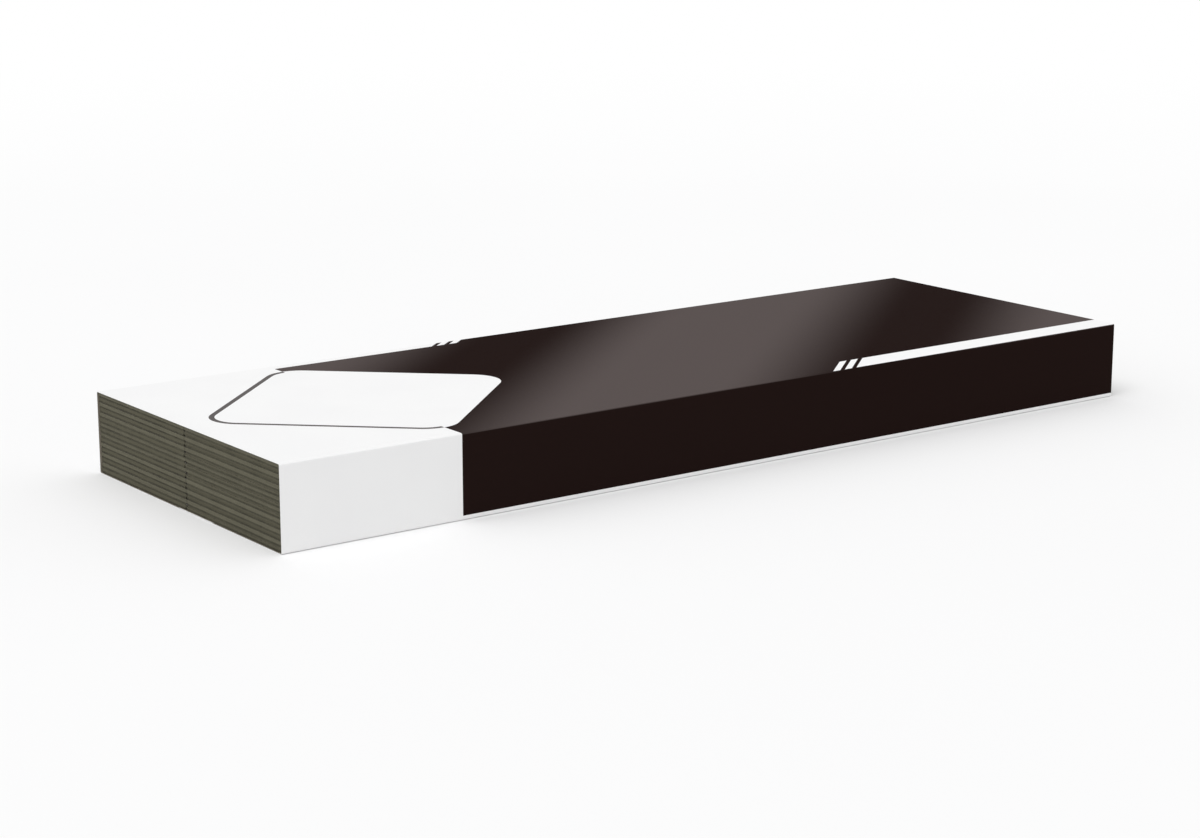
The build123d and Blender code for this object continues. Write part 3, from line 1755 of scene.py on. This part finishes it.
@dataclass
class Studio:
    """The pale floor, the soft light and the camera, in metres."""

    floor_reach: float = 60.0
    floor_drop: float = 0.0002
    floor_colour: Colour = (0.91, 0.91, 0.912)
    floor_roughness: float = 0.9
    cloud: Point = (0.8, 2.0)
    cloud_tone: float = 0.99
    grit: Point = (300.0, 2.0)
    grit_relief: Point = (0.0001, 0.05)
    fade_range: Point = (0.9, 4.0)
    ambient: float = 0.66
    sun_power: float = 1.42
    sun_spread: float = math.radians(50)
    sun_from: tuple[float, float, float] = (-0.38, -0.22, 1.0)
    eye: tuple[float, float, float] = (-1.5275, -2.0042, 0.6104)
    target: tuple[float, float, float] = (-0.045, 0.0, 0.020)
    lens: float = 78.0
    sensor: float = 36.0

    def floor(self) -> bpy.types.Object:
        """Lay the floor, a hair under the bundle so that the two faces don't meet.

        Returns:
            The floor.
        """
        reach = self.floor_reach / MM
        corners = box_outline(-reach, reach, -reach, reach)
        draft = MeshDraft()
        height = -self.floor_drop / MM
        draft.add([(x, y, height) for x, y in corners], [(0, 1, 2, 3)], [0], False)
        shader = Shader("pale_floor")
        cloud = shader.ranged(shader.noise(*self.cloud), SPREAD, RISING, True)
        darker = tuple(part * self.cloud_tone for part in self.floor_colour)
        colour = shader.mixed(cloud, self.floor_colour, darker)
        relief = shader.bump(shader.noise(*self.grit), *self.grit_relief)
        material = shader.finish(colour, self.floor_roughness, relief, 0.0)
        self.fade(shader)
        piece = draft.build("studio_floor", [material])
        return piece

    def fade(self, shader: Shader) -> None:
        """Let the far floor run out into the white background.

        Args:
            shader: The floor's material.
        """
        reach = shader.node("ShaderNodeVectorMath", {"operation": "LENGTH"}, {0: shader.place})
        far = shader.ranged(reach.outputs["Value"], self.fade_range, RISING, True)
        share = shader.math("MULTIPLY", far, seen_directly(shader.tree))
        glow = shader.node("ShaderNodeEmission", None, {"Strength": 1.0})
        both = shader.node("ShaderNodeMixShader", None, {0: share})
        shader.feed(both.inputs[1], shader.surface.outputs[0])
        shader.feed(both.inputs[2], glow.outputs[0])
        output = shader.tree.nodes["Material Output"]
        shader.feed(output.inputs["Surface"], both.outputs[0])

    def world(self) -> None:
        """Light the scene evenly, and show white where nothing stands."""
        world = bpy.data.worlds.new("studio_world")
        bpy.context.scene.world = world
        world.use_nodes = True
        tree = world.node_tree
        background = tree.nodes["Background"]
        background.inputs["Color"].default_value = opaque((1.0, 1.0, 1.0))
        level = tree.nodes.new("ShaderNodeMapRange")
        level.inputs["To Min"].default_value = self.ambient
        level.inputs["To Max"].default_value = 1.0
        tree.links.new(seen_directly(tree), level.inputs[0])
        tree.links.new(level.outputs[0], background.inputs["Strength"])

    def lamp(self) -> None:
        """Add the wide soft key light."""
        light = bpy.data.lights.new("soft_key", "SUN")
        light.energy = self.sun_power
        light.angle = self.sun_spread
        lamp = bpy.data.objects.new("soft_key", light)
        lamp.rotation_euler = Vector(self.sun_from).to_track_quat("Z", "Y").to_euler()
        bpy.context.scene.collection.objects.link(lamp)

    def camera(self) -> None:
        """Place the camera where the photograph was seen from."""
        lens = bpy.data.cameras.new("camera")
        lens.lens = self.lens
        lens.sensor_width = self.sensor
        lens.sensor_fit = "HORIZONTAL"
        camera = bpy.data.objects.new("camera", lens)
        camera.location = self.eye
        away = Vector(self.eye) - Vector(self.target)
        camera.rotation_euler = away.to_track_quat("Z", "Y").to_euler()
        bpy.context.scene.collection.objects.link(camera)
        bpy.context.scene.camera = camera

    def build(self) -> None:
        """Set up the whole studio."""
        bpy.context.scene.view_settings.view_transform = "Standard"
        self.camera()
        self.floor()
        self.world()
        self.lamp()


def main() -> None:
    """Build the bundle and its studio, and report each piece."""
    logging.basicConfig(level=logging.INFO, format="%(name)s: %(message)s")
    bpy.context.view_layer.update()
    Studio().build()
    pieces = [PrintedWrapper().build(), *ShingleStack().build()]
    for piece in pieces:
        LOG.info("%s: %d faces", piece.name, len(piece.data.polygons))
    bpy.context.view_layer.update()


if __name__ == "__main__":
    main()
